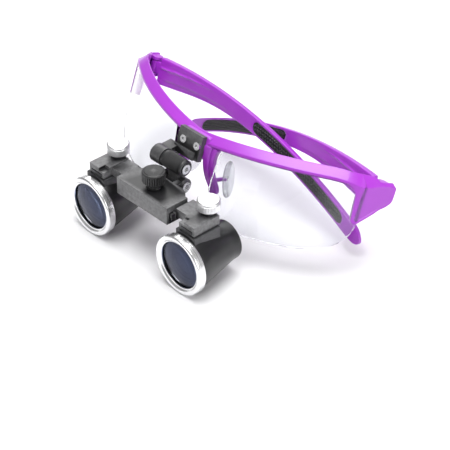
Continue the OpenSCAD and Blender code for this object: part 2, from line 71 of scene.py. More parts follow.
print("CAD box in mm:", [[round(v * 1000, 1) for v in corner] for corner in cad_box])

# %% [markdown]
# ## Camera, light and floor
# A small product is photographed with a long lens from well back, so that its near and far
# ends keep their true proportions. A large soft light above gives the bright top faces. A
# second one behind is mirrored in level faces, and a weaker one at the side draws the edges.


# %% Camera
def new_object(name, data):
    """An object that shows this data, placed in the scene."""
    made = bpy.data.objects.new(name, data)
    bpy.context.scene.collection.objects.link(made)
    return made


AIM = Vector((0.00872, 0.0006, 0.00148))
DISTANCE = 0.7206
AZIMUTH, ELEVATION = math.radians(46.95), math.radians(36.06)
back = Vector((
    math.sin(AZIMUTH) * math.cos(ELEVATION),
    -math.cos(AZIMUTH) * math.cos(ELEVATION),
    math.sin(ELEVATION),
))
camera_data = bpy.data.cameras.new("camera")
camera_data.lens = 133.5
camera = new_object("camera", camera_data)
camera.location = AIM + back * DISTANCE
camera.rotation_euler = (-back).to_track_quat("-Z", "Y").to_euler()
bpy.context.scene.camera = camera
print("camera stands at", [round(v, 3) for v in camera.location])


# %% Lights, world and floor
def soft_light(name, place, aim, size, power):
    """A square light panel of the given size in metres, turned to face a point."""
    data = bpy.data.lights.new(name, "AREA")
    data.size = size
    data.energy = power
    light = new_object(name, data)
    light.location = place
    light.rotation_euler = (Vector(aim) - Vector(place)).to_track_quat("-Z", "Y").to_euler()


soft_light("overhead_light", (0.05, -0.05, 0.95), (0, 0, 0), 0.8, 12.0)
soft_light("back_light", (-0.72, 0.68, 0.72), (0, 0, 0), 0.8, 3.6)
soft_light("side_light", (0.95, 0.1, 0.4), (0, 0, 0.02), 0.5, 3.0)

world = bpy.data.worlds.new("studio")
world.use_nodes = True
world.node_tree.nodes["Background"].inputs["Color"].default_value = (1, 1, 1, 1)
world.node_tree.nodes["Background"].inputs["Strength"].default_value = 0.34
bpy.context.scene.world = world
bpy.context.scene.view_settings.view_transform = "Standard"

# %% [markdown]
# ## How a shape becomes a mesh
# Every new piece is a grid of points worked out with numpy. A section is carried along a
# path or turned about an axis, and neighbouring sections are joined by quads. The ends are
# closed, and a shell that comes out inside out is turned round by the sign of its volume.

# %% Grids and shells
MM = 0.001


def strip_faces(rows, around, closed_rows=False):
    """Quads between neighbouring sections; each section joins on to itself, and with
    closed_rows the last section joins the first."""
    r = np.arange(rows if closed_rows else rows - 1)[:, None]
    c = np.arange(around)[None, :]
    r2, c2 = (r + 1) % rows, (c + 1) % around
    corners = (r * around + c, r * around + c2, r2 * around + c2, r2 * around + c)
    return np.stack(np.broadcast_arrays(*corners), -1).reshape(-1, 4)


def skin(sections, caps="fan"):
    """A closed shell over a (stations, around, 3) grid. A fan closes an end on its middle
    point, and a flat end may be one face instead."""
    rows, around = sections.shape[:2]
    points = sections.reshape(-1, 3)
    quads = strip_faces(rows, around)
    first, last = np.arange(around), (rows - 1) * around + np.arange(around)
    if caps == "flat":
        return points, [quads, first[None, ::-1], last[None, :]]
    middles = np.stack([sections[0].mean(0), sections[-1].mean(0)])
    points = np.concatenate([points, middles])
    at = rows * around
    start = np.stack([np.roll(first, -1), first, np.full(around, at)], -1)
    end = np.stack([last, np.roll(last, -1), np.full(around, at + 1)], -1)
    return points, [quads, start, end]


def ring_skin(sections):
    """A shell over sections that come back to the first one, like a tyre."""
    rows, around = sections.shape[:2]
    return sections.reshape(-1, 3), [strip_faces(rows, around, closed_rows=True)]


def volume(points, faces):
    """Signed volume: each face is a fan of triangles, and each triangle and the origin
    make a thin pyramid."""
    total = 0.0
    for group in faces:
        corners = points[group] - points.mean(0)
        first = corners[:, :1]
        total += np.sum(first * np.cross(corners[:, 1:-1], corners[:, 2:]))
    return total / 6


def shell_mesh(name, shells, smooth_below):
    """One mesh from several closed shells, in metres, with every shell facing outwards.
    Edges that turn by less than smooth_below degrees are shaded smooth."""
    points, faces, count = [], [], 0
    for shell_points, groups in shells:
        if volume(shell_points, groups) < 0:
            groups = [g[:, ::-1] for g in groups]
        points.append(shell_points)
        for group in groups:
            faces.extend((group + count).tolist())
        count += len(shell_points)
    mesh = bpy.data.meshes.new(name)
    mesh.from_pydata(np.concatenate(points).tolist(), [], faces)
    mesh.update()
    mesh.shade_smooth()
    mesh.set_sharp_from_angle(angle=math.radians(smooth_below))
    return mesh


# %% [markdown]
# Every piece is finished the same way: it rides on the body of the CAD nodes that it stands
# for, hides them, and takes one material. It names no material slot, and the record's materials
# list none of these nodes. One helper does all of it.

# %% Placing pieces
BODY_OF = {n: b for b, nodes in frame["record"]["behaviour"]["bodies"].items() for n in nodes}


def add_piece(name, mesh, material, *nodes):
    """Puts a mesh into the scene as a piece that stands for these CAD nodes."""
    piece = new_object(name, mesh)
    mesh.materials.clear()
    mesh.materials.append(material)
    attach(piece, BODY_OF[nodes[0]])
    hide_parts(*nodes)
    return piece


def shell_piece(name, shells, material, node, smooth_below=40):
    """A piece made of closed shells, in metres, that stands for one CAD node."""
    return add_piece(name, shell_mesh(name, shells, smooth_below), material, node)


class Place:
    """A set of axes in the row frame. at() takes points in millimetres along them."""

    def __init__(self, origin, x, y, z):
        self.origin = np.array(origin, float)
        self.axes = np.array([x, y, z], float)

    def at(self, points):
        return self.origin + np.asarray(points, float) * MM @ self.axes

    def shell(self, shell):
        return self.at(shell[0]), shell[1]


def middle(node):
    """The middle of a CAD node's box, in metres."""
    low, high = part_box(node)
    return np.array((low + high) / 2)


# %% [markdown]
# The spectacle frame leans back from the barrels, so its parts are drawn along its own axes:
# x across, y back and z up along the lenses. The temple's hinge pin gives both the lean and
# the origin, because the record holds its axis and its place.

# %% The spectacle frame's own axes
HINGE = np.array([69.0, 41.0, 5.0])
X_AXIS = np.array([1.0, 0.0, 0.0])
joints = {joint["name"]: joint for joint in frame["joints"]}
fold = joints["temple_left_fold"]
UP = -np.array(fold["axis"])
BACK = np.cross(UP, X_AXIS)
bridge = np.array(fold["pos_m"]) - MM * (HINGE[0] * X_AXIS + HINGE[1] * BACK + HINGE[2] * UP)
SPECTACLE = Place(bridge, X_AXIS, BACK, UP)
SPECTACLE_SIDE = {side: Place(bridge, sign * X_AXIS, BACK, UP) for side, sign in SIDES.items()}
print("the frame leans back by", round(math.degrees(math.asin(UP[1])), 1), "degrees")

# %% [markdown]
# ## Shared curves
# Moulded and machined parts have no knife edges. A section is drawn with sharp corners and
# each corner is then replaced by a short curve. Where a size changes along a part, it is
# given at a few stations and a smooth curve runs through them.


# %% Rounded corners and smooth changes
def rounded(corners, radius, steps=4, closed=True):
    """Each corner becomes a quadratic curve that leaves one edge and joins the next, a
    radius away from the corner, or nearly half an edge where the edge is short."""
    corners = np.asarray(corners, float)
    t = np.linspace(0, 1, steps + 1)[:, None]

    def reach(edge):
        length = np.linalg.norm(edge, axis=-1, keepdims=True)
        return edge * np.minimum(np.reshape(radius, (-1, 1)) / np.maximum(length, 1e-9), 0.48)

    start = corners + reach(np.roll(corners, 1, -2) - corners)
    end = corners + reach(np.roll(corners, -1, -2) - corners)
    curve = (
        (1 - t) ** 2 * start[..., None, :]
        + 2 * t * (1 - t) * corners[..., None, :]
        + t**2 * end[..., None, :]
    )
    if not closed:
        curve = curve[..., 1:-1, :, :]
    curve = curve.reshape(*corners.shape[:-2], -1, corners.shape[-1])
    if closed:
        return curve
    return np.concatenate([corners[..., :1, :], curve, corners[..., -1:, :]], -2)


def through(at, values, x):
    """A smooth curve through the given values: a cubic between two stations, whose slope at
    each is the mean of its neighbours' slopes, and level at a peak or a hollow."""
    at, values, x = (np.asarray(v, float) for v in (at, values, x))
    steps = np.diff(values) / np.diff(at)
    inner = np.where(steps[:-1] * steps[1:] > 0, (steps[:-1] + steps[1:]) / 2, 0)
    limit = 2.5 * np.minimum(abs(steps[:-1]), abs(steps[1:]))
    slopes = np.concatenate([steps[:1], np.clip(inner, -limit, limit), steps[-1:]])
    i = np.clip(np.searchsorted(at, x, side="right") - 1, 0, len(steps) - 1)
    width = at[i + 1] - at[i]
    t = np.clip((x - at[i]) / width, 0, 1)
    return (
        values[i] * (1 + 2 * t) * (1 - t) ** 2
        + values[i + 1] * t**2 * (3 - 2 * t)
        + width * (slopes[i] * t * (1 - t) ** 2 - slopes[i + 1] * t**2 * (1 - t))
    )


def turned(profile, around=96, closed=False, radius_change=None):
    """A profile of (along, radius) points turned about the z axis. radius_change takes the
    angle and the height and returns what is added to the radius there."""
    profile = np.asarray(profile, float)
    angle = np.linspace(0, 2 * math.pi, around, endpoint=False)[None, :]
    along, radius = profile[:, :1], profile[:, 1:]
    if radius_change:
        radius = radius + radius_change(angle, along)
    radius, along = np.broadcast_arrays(radius, along + 0 * angle)
    sections = np.stack([radius * np.cos(angle), radius * np.sin(angle), along], -1)
    return ring_skin(sections) if closed else skin(sections)


def prism(outline, low, high, edge=0.3):
    """An outline in x and y carried up from low to high. Near both ends it draws in by a
    quarter of a round, so that the edge is softened by that radius."""
    outline = np.asarray(outline, float)
    following = np.roll(outline, -1, 0)
    if np.sum(outline[:, 0] * following[:, 1] - following[:, 0] * outline[:, 1]) < 0:
        outline = outline[::-1]
    run = np.roll(outline, -1, 0) - np.roll(outline, 1, 0)
    inward = np.stack([-run[:, 1], run[:, 0]], -1)
    inward /= np.maximum(np.linalg.norm(inward, axis=1, keepdims=True), 1e-9)
    turn = np.linspace(0, math.pi / 2, 4)
    inset = edge * np.concatenate([1 - np.sin(turn), 1 - np.sin(turn[::-1])])
    rise = edge * (1 - np.cos(turn))
    height = np.concatenate([low + rise, high - rise[::-1]])
    flat = outline[None] + inset[:, None, None] * inward[None]
    lift = np.broadcast_to(height[:, None, None], flat.shape[:2] + (1,))
    return skin(np.concatenate([flat, lift], -1), caps="flat")


def box_outline(x0, x1, y0, y1, radius):
    """A rectangle with rounded corners."""
    return rounded([(x0, y0), (x1, y0), (x1, y1), (x0, y1)], radius)


# %% [markdown]
# ## Finishes
# A believable finish changes a little over its surface. Three effects are shared by several
# materials, so each is a node group with its own inputs: a fine grain from the mould or the
# blasting, a painted highlight along the edges, and the circular marks that a lathe leaves. The groups
# read Object coordinates, so that a pattern stays on the part when the part moves.


# %% Node group helper
def new_group(name, inputs, outputs):
    """An empty shader node group with float or vector inputs and float outputs."""
    group = bpy.data.node_groups.new(name, "ShaderNodeTree")
    for label, value in inputs.items():
        kind = "NodeSocketVector" if isinstance(value, tuple) else "NodeSocketFloat"
        group.interface.new_socket(label, in_out="INPUT", socket_type=kind).default_value = value
    for label in outputs:
        group.interface.new_socket(label, in_out="OUTPUT", socket_type="NodeSocketFloat")
    return group, group.nodes.new("NodeGroupInput"), group.nodes.new("NodeGroupOutput")


def math_node(tree, operation, first, second=None, clamp=False):
    """One math node; an input is a number or the socket that it takes its value from."""
    node = tree.nodes.new("ShaderNodeMath")
    node.operation = operation
    node.use_clamp = clamp
    for socket, value in zip(node.inputs, (first, second)):
        if isinstance(value, (int, float)):
            socket.default_value = value
        elif value is not None:
            tree.links.new(value, socket)
    return node.outputs[0]


def noise_node(tree, vector, scale, detail=3.0):
    """Noise on the given coordinates; scale is a number or a socket."""
    node = tree.nodes.new("ShaderNodeTexNoise")
    node.inputs["Detail"].default_value = detail
    tree.links.new(vector, node.inputs["Vector"])
    if isinstance(scale, (int, float)):
        node.inputs["Scale"].default_value = scale
    else:
        tree.links.new(scale, node.inputs["Scale"])
    return node.outputs["Fac"]


# %% Grain: fine height, and a slow change of tone
grain_group, grain_in, grain_out = new_group(
    "surface_grain", {"Scale": 3000.0, "Patch Scale": 90.0}, ("Height", "Tone")
)
coordinates = grain_group.nodes.new("ShaderNodeTexCoord").outputs["Object"]
fine = noise_node(grain_group, coordinates, grain_in.outputs["Scale"])
slow = noise_node(grain_group, coordinates, grain_in.outputs["Patch Scale"], 4.0)
grain_group.links.new(fine, grain_out.inputs["Height"])
grain_group.links.new(slow, grain_out.inputs["Tone"])

# %% Painted edge highlight: paler outer edges, broken up by noise
# Painted highlight: outer edges get a paler colour that stands in for light caught on them.
edge_highlight_group, edge_highlight_in, edge_highlight_out = new_group(
    "painted_edge_highlight", {"Start": 0.52, "Sharpness": 16.0, "Patch Scale": 700.0}, ("Mask",)
)
pointiness = edge_highlight_group.nodes.new("ShaderNodeNewGeometry").outputs["Pointiness"]
coordinates = edge_highlight_group.nodes.new("ShaderNodeTexCoord").outputs["Object"]
raised = math_node(edge_highlight_group, "SUBTRACT", pointiness, edge_highlight_in.outputs["Start"])
raised = math_node(edge_highlight_group, "MULTIPLY", raised, edge_highlight_in.outputs["Sharpness"], clamp=True)
patches = noise_node(edge_highlight_group, coordinates, edge_highlight_in.outputs["Patch Scale"])
patches = math_node(edge_highlight_group, "MULTIPLY_ADD", patches, 1.4)
patches.node.inputs[2].default_value = 0.1
edge_highlight_mask = math_node(edge_highlight_group, "MULTIPLY", raised, patches, clamp=True)
edge_highlight_group.links.new(edge_highlight_mask, edge_highlight_out.inputs["Mask"])

# %% Lathe marks: rings about an axis, a little irregular
lathe_group, lathe_in, lathe_out = new_group(
    "lathe_marks",
    {"Centre": (0.0, 0.0, 0.0), "Axis": (0.0, 1.0, 0.0), "Rings": 4000.0},
    ("Height",),
)
coordinates = lathe_group.nodes.new("ShaderNodeTexCoord").outputs["Object"]


def vector_node(tree, operation, *sockets, output="Vector"):
    """One vector math node that takes its values from one or two sockets."""
    node = tree.nodes.new("ShaderNodeVectorMath")
    node.operation = operation
    for source, target in zip(sockets, node.inputs):
        tree.links.new(source, target)
    return node.outputs[output]


offset = vector_node(lathe_group, "SUBTRACT", coordinates, lathe_in.outputs["Centre"])
axis = lathe_in.outputs["Axis"]
along = vector_node(lathe_group, "DOT_PRODUCT", offset, axis, output="Value")
across = vector_node(lathe_group, "CROSS_PRODUCT", offset, axis)
distance = vector_node(lathe_group, "LENGTH", across, output="Value")
reach = math_node(lathe_group, "ADD", distance, along)
phase = math_node(lathe_group, "MULTIPLY", reach, lathe_in.outputs["Rings"])
ring_noise = lathe_group.nodes.new("ShaderNodeTexNoise")
ring_noise.noise_dimensions = "1D"
ring_noise.inputs["Scale"].default_value = 1.0
ring_noise.inputs["Detail"].default_value = 4.0
lathe_group.links.new(phase, ring_noise.inputs["W"])
lathe_group.links.new(ring_noise.outputs["Fac"], lathe_out.inputs["Height"])
print("node groups:", [group.name for group in bpy.data.node_groups])


# %% [markdown]
# One function builds a finish from these groups. The colour runs between two tones by the
# slow noise, the edges show a third, paler colour as a painted highlight, and the grain or the
# lathe marks go to the bump and to the roughness. Everything that is the same all over stays on the shader itself.


# %% Finish builder
def use_group(tree, group, **values):
    """One use of a node group, with the given numbers on its inputs."""
    node = tree.nodes.new("ShaderNodeGroup")
    node.node_tree = group
    for label, value in values.items():
        node.inputs[label.replace("_", " ")].default_value = value
    return node


def mix_colours(tree, mask, first, second):
    """A colour that runs from first to second as the mask goes from 0 to 1."""
    node = tree.nodes.new("ShaderNodeMix")
    node.data_type = "RGBA"
    tree.links.new(mask, node.inputs["Factor"])
    for label, value in (("A", first), ("B", second)):
        socket = next(s for s in node.inputs if s.name == label and s.type == "RGBA")
        if isinstance(value, tuple):
            socket.default_value = (*value, 1)
        else:
            tree.links.new(value, socket)
    return next(s for s in node.outputs if s.type == "RGBA")


def range_node(tree, value, low, high):
    """Maps 0..1 to low..high."""
    node = tree.nodes.new("ShaderNodeMapRange")
    node.inputs["To Min"].default_value = low
    node.inputs["To Max"].default_value = high
    tree.links.new(value, node.inputs["Value"])
    return node.outputs["Result"]


def new_finish(
    name, tones, roughness, grain=3000.0, bump=0.08, edge_highlight_colour=None, lathe=None, **constants
):
    """A material whose colour, roughness and normal change over the surface. tones are two
    colours, roughness is its low and high value, the edge colour is a painted highlight along
    outer edges, and lathe is a point on the axis and the axis. constants go on the shader itself."""
    material = bpy.data.materials.new(name)
    material.use_nodes = True
    tree = material.node_tree
    shader = tree.nodes["Principled BSDF"]
    for label, value in constants.items():
        shader.inputs[label.replace("_", " ")].default_value = value
    surface = use_group(tree, grain_group, Scale=grain)
    colour = mix_colours(tree, surface.outputs["Tone"], *tones)
    # Painted highlight: the edge colour paints a paler line along outer edges.
    if edge_highlight_colour:
        edge_highlight_node = use_group(tree, edge_highlight_group)
        colour = mix_colours(tree, edge_highlight_node.outputs["Mask"], colour, edge_highlight_colour)
    tree.links.new(colour, shader.inputs["Base Color"])
    height = surface.outputs["Height"]
    if lathe:
        marks = use_group(tree, lathe_group, Centre=tuple(lathe[0]), Axis=tuple(lathe[1]))
        height = marks.outputs["Height"]
    tree.links.new(range_node(tree, height, *roughness), shader.inputs["Roughness"])
    relief = tree.nodes.new("ShaderNodeBump")
    relief.inputs["Strength"].default_value = bump
    relief.inputs["Distance"].default_value = 0.0001
    tree.links.new(height, relief.inputs["Height"])
    tree.links.new(relief.outputs["Normal"], shader.inputs["Normal"])
    return material


# %% The floor
FLOOR_HALF = 3.0
floor_mesh = bpy.data.meshes.new("floor")
floor_corners = [(-1, -1), (1, -1), (1, 1), (-1, 1)]
floor_mesh.from_pydata(
    [(x * FLOOR_HALF, y * FLOOR_HALF, 0) for x, y in floor_corners], [], [(0, 1, 2, 3)]
)
floor = new_object("floor", floor_mesh)
floor.location.z = cad_box[0].z - 0.0001
floor_finish = new_finish(
    "floor_paper", ((0.86, 0.86, 0.87), (0.88, 0.88, 0.89)), (0.75, 0.8), bump=0.02
)
floor_mesh.materials.append(floor_finish)

# %% [markdown]
# ## The purple moulding
# The frame front is one piece of injection-moulded nylon, dyed through and polished in the
# mould. It is drawn as one section carried along a plan line: over the bridge, round the
# wrap of the brow, round the corner and back along the lug. Sweeping keeps the highlight
# running unbroken from end to end, which separate blocks would not.

# %% Purple plastic
purple = new_finish(
    "purple_plastic",
    ((0.33, 0.028, 0.50), (0.40, 0.036, 0.58)),
    (0.26, 0.34),
    grain=2500.0,
    bump=0.03,
    Specular_IOR_Level=0.6,
    Coat_Weight=0.3,
    Coat_Roughness=0.3,
)

# %% The plan line of the frame's front face
WRAP_R = 104.0
BAR_FRONT = 2.5
CORNER_X = 66.6
LUG_START_Y = 25.0
LUG_FRONT, LUG_REAR = np.array([70.3, 30.6]), np.array([74.9, 44.8])


def wrap_depth(x, front):
    """Depth of the wrap arc at x: an arc of WRAP_R that starts at the given front."""
    return front + WRAP_R - np.sqrt(WRAP_R**2 - x**2)


def front_line():
    """Half of the plan line from the bridge to the lug's end: the wrap arc, a quadratic
    curve round the corner, and a straight run, with the distance along it."""
    xs = np.concatenate([np.linspace(0, 60, 61), np.linspace(60.3, CORNER_X, 22)])
    arc = np.stack([xs, wrap_depth(xs, BAR_FRONT)], -1)
    slope = CORNER_X / math.sqrt(WRAP_R**2 - CORNER_X**2)
    lug_run = (LUG_REAR - LUG_FRONT) / np.linalg.norm(LUG_REAR - LUG_FRONT)
    ahead = np.array([1, slope]) / math.hypot(1, slope)
    meet = arc[-1] + ahead * np.cross(LUG_FRONT - arc[-1], lug_run) / np.cross(ahead, lug_run)
    t = np.linspace(0, 1, 41)[1:, None]
    bend = (1 - t) ** 2 * arc[-1] + 2 * t * (1 - t) * meet + t**2 * LUG_FRONT
    ease = np.sin(np.linspace(0, math.pi / 2, 44))[1:, None]
    straight = LUG_FRONT + (LUG_REAR - LUG_FRONT) * ease
    line = np.concatenate([arc, bend, straight])
    run = np.gradient(line, axis=0)
    run /= np.linalg.norm(run, axis=1, keepdims=True)
    walked = np.concatenate([[0], np.cumsum(np.linalg.norm(np.diff(line, axis=0), axis=1))])
    return line, np.stack([-run[:, 1], run[:, 0]], -1), walked


# %% Heights and thickness along the plan line
def brow_top(x):
    """Top of the brow bar: it rises outwards from the bridge and levels off at the lug."""
    return 5 + 0.13 * np.sqrt(x**2 + 4) - 0.014 * np.maximum(0, np.abs(x) - 58) ** 2


def frame_sections():
    """Sections of the frame as (depth, height) corners at each station of the plan line.
    Along the lug every height is a smooth curve of the station's depth y."""
    line, inward, walked = front_line()
    x, y = line.T
    brow = y < LUG_START_Y
    top = through(
        [25, 28, 35.4, 36.4, 37.4, 41, 43.9, 44.8],
        [12.75, 12.6, 12.3, 11.7, 10.9, 10.6, 10.3, 9.4],
        y,
    )
    low = through(
        [25, 26.4, 27.3, 27.9, 28.25, 28.6, 30, 32, 38.6, 43.6, 44.8],
        [7.55, 6.7, 5.6, 4.0, -2.0, -7.2, -7.9, -6.7, -1.8, 1.6, 3.2],
        y,
    )
    crease = through([25, 27, 29.6, 33.5, 38, 41, 44.8], [9.25, 8.8, 8.5, 8.6, 9.2, 9.6, 9.0], y)
    top = np.where(brow, brow_top(x), top)
    low = np.where(brow, brow_top(x) - 5.2, low)
    crease = np.where(brow, brow_top(x) - 3.5, np.minimum(crease, top - 0.3))
    wall = through(
        [18, 25, 27, 29, 31, 35, 38.2, 41, 44.8], [3.6, 3.6, 4.2, 5.2, 5.0, 3.6, 1.7, 2.4, 3.3], y
    )
    lip = 0.45 * through([29.5, 31, 37, 39.5], [0, 1, 1, 0], y)
    dish = 0.16 * np.exp(-(((y - 29) / 1.3) ** 2))
    under = through([3, 24, 28, 44], [0.7, 0.6, 0.1, 0.1], y)
    mid, quarter = (crease + low) / 2, 0.25 * (crease - low)
    corners = [
        (wall, top - 0.35),
        (wall - 0.5, top),
        (0 * y, crease),
        (dish, mid + quarter),
        (dish, mid - quarter),
        (dish * 0.4 + under, low + 1.5),
        (under - lip, low + 1.1),
        (under - lip, low),
        (wall, low),
    ]
    section = np.stack([np.stack(c, -1) for c in corners], 1)
    return line, inward, walked, section


def frame_bar():
    """The whole sweep, mirrored to the other side, with both lug ends rounded off."""
    END_ROUND = 1.0
    line, inward, walked, section = frame_sections()
    loop = rounded(section, [0.5, 0.5, 0.35, 2.0, 2.0, 0.25, 0.25, 0.3, 0.6])
    centre = loop.mean(1, keepdims=True)
    near = np.clip((walked - (walked[-1] - END_ROUND)) / END_ROUND, 0, 1)
    keep = np.sqrt(np.maximum(1 - near**2, 0.04))[:, None, None]
    loop = centre + (loop - centre) * ((0.5, 0.86) + keep * (0.5, 0.14))
    flat = line[:, None] + loop[..., :1] * inward[:, None]
    half = np.concatenate([flat, loop[..., 1:]], -1)
    other = half[::-1] * (-1, 1, 1)
    return skin(np.concatenate([other[:-1], half]))


# %% [markdown]
# The nose arms grow out of the bridge and curve down and back to the pads. Their section is
# a rounded strap with a groove along its front, which catches a thin highlight.


# %% Nose arms, bridge block and hinge lips
def swept(path, section, widths, heights, steps=36):
    """A section of (across, through) points scaled along a smooth path through the given
    points. Across stays level and square to the path, and through completes the set."""
    path = np.asarray(path, float)
    at = np.arange(len(path))
    s = np.linspace(0, len(path) - 1, steps)
    line = np.stack([through(at, path[:, i], s) for i in range(3)], -1)
    run = np.gradient(line, axis=0)
    run /= np.linalg.norm(run, axis=1, keepdims=True)
    through_axis = np.cross(run, (1.0, 0.25, 0.0))
    through_axis /= np.linalg.norm(through_axis, axis=1, keepdims=True)
    across_axis = np.cross(through_axis, run)
    w, h = through(at, widths, s)[:, None, None], through(at, heights, s)[:, None, None]
    ends = np.minimum(np.arange(steps), np.arange(steps)[::-1])
    keep = np.array([0.55, 0.85, 1.0])[np.minimum(ends, 2)][:, None, None]
    section = np.asarray(section, float)
    return skin(
        line[:, None]
        + keep * w * section[None, :, :1] * across_axis[:, None]
        + keep * h * section[None, :, 1:] * through_axis[:, None]
    )


def nose_arm():
    """One arm: a grooved strap that thins towards the pad."""
    section = rounded([
        (-1, -0.5), (-0.75, 1), (0.05, 1), (0.2, 0.55), (0.4, 0.95), (0.85, 0.85), (1, -0.5),
        (0.5, -1), (-0.5, -1),
    ], 0.16)
    path = [
        (8, 4.5, 1.8), (8, 4.6, -2), (8.2, 5.4, -7), (9, 7.2, -12), (10.6, 9.8, -17),
        (11.4, 10.9, -19.6),
    ]
    widths, heights = [4.6, 3.4, 3.0, 2.8, 2.4, 1.5], [1.8, 1.8, 1.7, 1.6, 1.5, 1.1]
    return swept(path, section, widths, heights)


def hinge_lip(low, high):
    """A D-shaped ear round the temple's pin, rooted in the lug's wall."""
    LIP_R = 2.6
    turn = np.linspace(math.pi / 2, 3 * math.pi / 2, 25)
    ear = np.stack([HINGE[0] + LIP_R * np.cos(turn), HINGE[1] + LIP_R * np.sin(turn)], -1)
    root = np.array([(72.4, HINGE[1] - LIP_R), (73.0, HINGE[1] + LIP_R)])
    return prism(np.concatenate([ear, root]), low, high, 0.2)


pad_post = turned(rounded([(7.5, 0.9), (14.3, 0.9)], 0.1, closed=False), 24)
pad_post = (pad_post[0][:, (0, 2, 1)] + (10.9, 0, -13), pad_post[1])
bridge_block = prism(box_outline(-7.4, 7.4, 2.6, 6.9, 1.2), -5.4, 4.6, 0.8)
frame_shells = [SPECTACLE.shell(frame_bar()), SPECTACLE.shell(bridge_block)]
for side, place in SPECTACLE_SIDE.items():
    shells = [nose_arm(), pad_post, hinge_lip(0.8, 2.4), hinge_lip(8.4, 10.0)]
    frame_shells += [place.shell(shell) for shell in shells]
front = shell_piece("spectacle_front", frame_shells, purple, "front_frame")
print("spectacle front:", len(front.data.polygons), "faces")

# %% [markdown]
# ## Temples
# Each temple is a flat arm that curves down towards its tip. It is drawn along its own axis
# from the hinge pin. The section is a squared oval, and the inner face carries a thin raised
# line near the hinge and a shallow step along its lower edge, as ejected from the mould.

# %% Temple heights
TEMPLE_LEN = 131.0
TIP_ROUND = 6.0
ROOT_S = 3.6
GRIP_ROUND = 3.0
GRIP_START, GRIP_END = 62.5, 120.0
GRIP_TOP, GRIP_LOW = 1.1, 0.8
LEAN = {"left": math.radians(10.0), "right": math.radians(3.9)}


def temple_half(s):
    """Half the height at s, with a round tip."""
    past = np.maximum(0, s - TEMPLE_LEN + TIP_ROUND) / TIP_ROUND
    tip = np.sqrt(np.maximum(0, 1 - past**2))
    return temple_tall(s) / 2 * tip


def temple_tall(s):
    """Full height: 12.6 mm at the hinge, falling to 7 mm along a bell curve."""
    return 7 + 5.6 * np.exp(-((s / 32) ** 2))


def temple_mid(s):
    """Height of the middle: the upper edge is a parabola with its peak at 15 mm."""
    return 10.85 - 0.00222 * (s - 15) ** 2 - temple_tall(s) / 2


def temple_thick(s):
    """Full thickness: 3.6 mm at the hinge, thinning to 2.8 mm by 42 mm."""
    return np.interp(s, [ROOT_S, 42], [3.6, 2.8])


def fade(x, start, full, end, gone):
    """0 before start, 1 from full to end, 0 after gone."""
    return np.interp(x, [start, full, end, gone], [0, 1, 1, 0])


# %% Temple surface
def temple_body():
    """Both faces are squared ovals: thickness falls off by the tenth power of the height.
    Relief is then added on the inner face."""
    s = np.concatenate([
        ROOT_S + 0.7 * (1 - np.cos(np.linspace(0, math.pi / 2, 6))),
        np.linspace(5, TEMPLE_LEN - TIP_ROUND, 150),
        TEMPLE_LEN - TIP_ROUND + TIP_ROUND * np.sin(np.linspace(0, math.pi / 2 - 0.06, 16))[1:],
    ])[:, None]
    face = np.sin(np.linspace(-math.pi / 2, math.pi / 2, 41))[None, :]
    half, mid, thick = temple_half(s), temple_mid(s), temple_thick(s) / 2
    thick = thick * np.interp(s, [ROOT_S, ROOT_S + 0.7], [0.6, 1])
    thick = thick * np.interp(s, [TEMPLE_LEN - 3, TEMPLE_LEN], [1, 0.6])
    bulge = (1 - np.abs(face) ** 10) ** 0.1
    line_at = np.interp(s, [4, 36], [0.28, 0.52])
    raised = 0.6 * np.exp(-(((face - line_at) * half) / 0.4) ** 2) * fade(s, ROOT_S, 6, 20, 40)
    step = 0.55 * np.clip((-0.5 - face) * half / 0.5, 0, 1) * fade(s, 5, 12, 34, 52)
    recess = 0.5 * grip_mask(s, face * half)
    inner = thick * bulge + (raised - step - recess) * (np.abs(face) < 0.97)
    outer = -thick * bulge
    y = np.concatenate([inner, outer[:, ::-1][:, 1:-1]], 1)
    z = mid + half * np.concatenate([face, face[:, ::-1][:, 1:-1]], 1)
    return skin(np.stack([np.broadcast_to(s, y.shape), y, np.broadcast_to(z, y.shape)], -1))


def grip_outline(s):
    """Middle and half height of the grip at s, measured from the temple's middle, and how
    far s lies into a round end, from 0 to 1."""
    top, low = temple_half(s) - GRIP_TOP, GRIP_LOW - temple_half(s)
    past = np.maximum(GRIP_START + GRIP_ROUND - s, s - GRIP_END + GRIP_ROUND)
    return (top + low) / 2, (top - low) / 2, np.clip(past / GRIP_ROUND, 0, 1)


def grip_mask(s, z):
    """1 inside the grip's outline, 0 outside, soft over a quarter of a millimetre."""
    centre, tall, ends = grip_outline(s)
    reach = tall * np.sqrt(np.maximum(1 - ends**2, 0)) - np.abs(z - centre)
    return np.clip(reach / 0.25 + 0.5, 0, 1) * (ends < 1)


def temple_eye():
    """The knuckle on the hinge pin and the short neck that joins it to the arm."""
    low, high = 2.65, 8.15
    profile = rounded([(low, 1.0), (low, 2.3), (high, 2.3), (high, 1.0)], 0.25, closed=False)
    knuckle = turned(profile, 40)
    neck = prism(box_outline(0.3, 5.2, -1.75, 1.75, 0.4), low, high, 0.3)
    return [knuckle, neck]


# %% [markdown]
# The grip is a strip of soft rubber let into the inner face. Its studs are real relief: the
# strip is a fine grid whose height follows two crossed waves, so each stud has flat-topped
# sides that catch the light from any angle.


